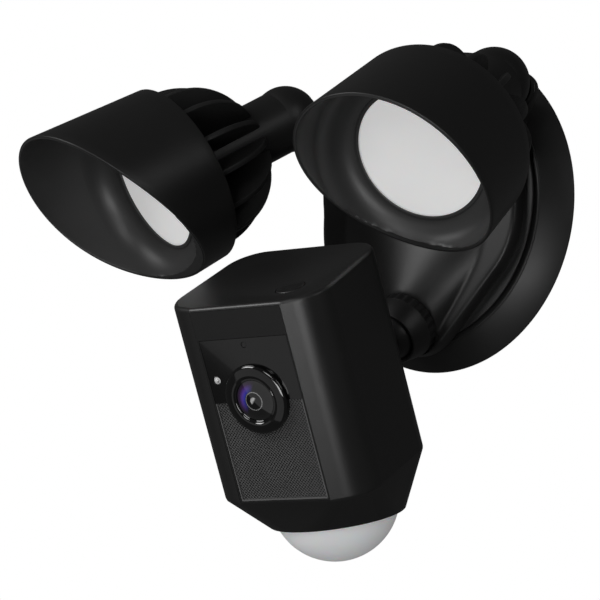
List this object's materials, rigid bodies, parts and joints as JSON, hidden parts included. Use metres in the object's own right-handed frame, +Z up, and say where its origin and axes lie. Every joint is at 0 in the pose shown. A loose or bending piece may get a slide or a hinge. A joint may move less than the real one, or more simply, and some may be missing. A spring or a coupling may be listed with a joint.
{
  "type": "floodlight security camera",
  "caption": "Wall floodlight with aimable hooded lamps and a camera head with motion dome on a ball joint",
  "frame": {"origin": "centre of the base's back face, on the wall", "axes": "+Y into the wall, +Z up, +X to the right seen from the front; the lamps and the camera face -Y"},
  "size_m": [0.2799, 0.1731, 0.2513],
  "materials": {
    "base_plastic": "fine satin texture",
    "cover_plastic": "fine satin texture",
    "lamp_plastic": "satin",
    "head_plastic": "satin",
    "cast_aluminium": "black powder coat",
    "gloss_window": "polished",
    "grille": "perforated, satin",
    "lens_white": "opal diffuser",
    "dome_white": "translucent, satin",
    "eye_glass": "coated glass",
    "rubber": "moulded",
    "steel": "zinc plated",
    "circuit_board": "solder resist",
    "component": "moulded",
    "reflector_white": "bright moulded",
    "nylon": "waxy",
    "led_clear": "clear epoxy",
    "terminal_green": "moulded"
  },
  "bodies": {
    "base": {"mounting_bracket": "steel", "bracket_screws": "steel", "wall_gasket": "rubber", "rear_housing": "base_plastic", "front_cover": "cover_plastic", "cover_screws": "steel", "driver_board": "circuit_board", "power_module": "component", "terminal_block": "terminal_green", "siren": "component", "camera_socket": "base_plastic"},
    "clamp_ring": {"clamp_ring": "base_plastic"},
    "ball_shoe": {"ball_shoe": "nylon"},
    "ball_stem": {"ball_stem": "head_plastic", "stem_nut": "steel"},
    "head": {"head_shell": "head_plastic", "face_plate": "head_plastic", "lens_window": "gloss_window", "speaker_grille": "grille", "eye_housing": "gloss_window", "eye_lens": "eye_glass", "lens_barrel": "component", "window_led": "led_clear", "light_sensor": "component", "main_board": "circuit_board", "speaker": "component", "button_switch": "component", "dome_ring": "head_plastic", "motion_dome": "dome_white", "motion_board": "circuit_board", "motion_sensors": "steel", "head_screws": "steel"},
    "setup_button": {"setup_button": "head_plastic"},
    "left_turret": {"left_turret": "lamp_plastic"},
    "left_arm": {"left_arm": "lamp_plastic", "left_knuckle_pin": "steel", "left_retaining_nut": "steel"},
    "left_lamp": {"left_heat_sink": "cast_aluminium", "left_hood": "lamp_plastic", "left_led_board": "circuit_board", "left_reflector": "reflector_white", "left_lens_gasket": "rubber", "left_lens": "lens_white", "left_bezel": "lamp_plastic", "left_bezel_screws": "steel"},
    "right_turret": {"right_turret": "lamp_plastic"},
    "right_arm": {"right_arm": "lamp_plastic", "right_knuckle_pin": "steel", "right_retaining_nut": "steel"},
    "right_lamp": {"right_heat_sink": "cast_aluminium", "right_hood": "lamp_plastic", "right_led_board": "circuit_board", "right_reflector": "reflector_white", "right_lens_gasket": "rubber", "right_lens": "lens_white", "right_bezel": "lamp_plastic", "right_bezel_screws": "steel"}
  },
  "joints": [
    {"name": "clamp_turn", "type": "hinge", "parent": "base", "child": "clamp_ring", "pos_m": [0, -0.0362, -0.0631], "axis": [0, -0.809, -0.5878], "range_deg": [0, 90]},
    {"name": "head_pan", "type": "hinge", "parent": "base", "child": "ball_shoe", "pos_m": [0, -0.0362, -0.0631], "axis": [0, -0.5878, 0.809], "range_deg": [-28, 9]},
    {"name": "head_tilt", "type": "hinge", "parent": "ball_shoe", "child": "ball_stem", "pos_m": [0, -0.0362, -0.0631], "axis": [0.991, 0.134, 0], "range_deg": [-5, 30]},
    {"name": "head_roll", "type": "hinge", "parent": "ball_stem", "child": "head", "pos_m": [0.0048, -0.07168, -0.08095], "axis": [0.1199, -0.8869, -0.4462], "range_deg": [-40, 40]},
    {"name": "button_press", "type": "slide", "parent": "head", "child": "setup_button", "axis": [-0.0669, 0.4945, -0.8666], "range_m": [0, 0.001], "stiffness_N_per_m": 300, "springref_m": -0.001},
    {"name": "left_swivel", "type": "hinge", "parent": "base", "child": "left_turret", "pos_m": [-0.0654, -0.0439, 0.0475], "axis": [0, 1, 0], "range_deg": [-60, 60]},
    {"name": "left_tilt", "type": "hinge", "parent": "left_turret", "child": "left_arm", "pos_m": [-0.0654, -0.0439, 0.0475], "axis": [0.8329, 0, -0.5534], "range_deg": [-35, 20]},
    {"name": "left_spin", "type": "hinge", "parent": "left_arm", "child": "left_lamp", "pos_m": [-0.0654, -0.0439, 0.0475], "axis": [-0.3361, -0.7944, -0.5059], "range_deg": [-90, 90]},
    {"name": "right_swivel", "type": "hinge", "parent": "base", "child": "right_turret", "pos_m": [0.0654, -0.0439, 0.0475], "axis": [0, 1, 0], "range_deg": [-60, 33]},
    {"name": "right_tilt", "type": "hinge", "parent": "right_turret", "child": "right_arm", "pos_m": [0.0654, -0.0439, 0.0475], "axis": [0.9707, 0, 0.2402], "range_deg": [-35, 11]},
    {"name": "right_spin", "type": "hinge", "parent": "right_arm", "child": "right_lamp", "pos_m": [0.0654, -0.0439, 0.0475], "axis": [0.1378, -0.8192, -0.5568], "range_deg": [-70, 37]}
  ]
}
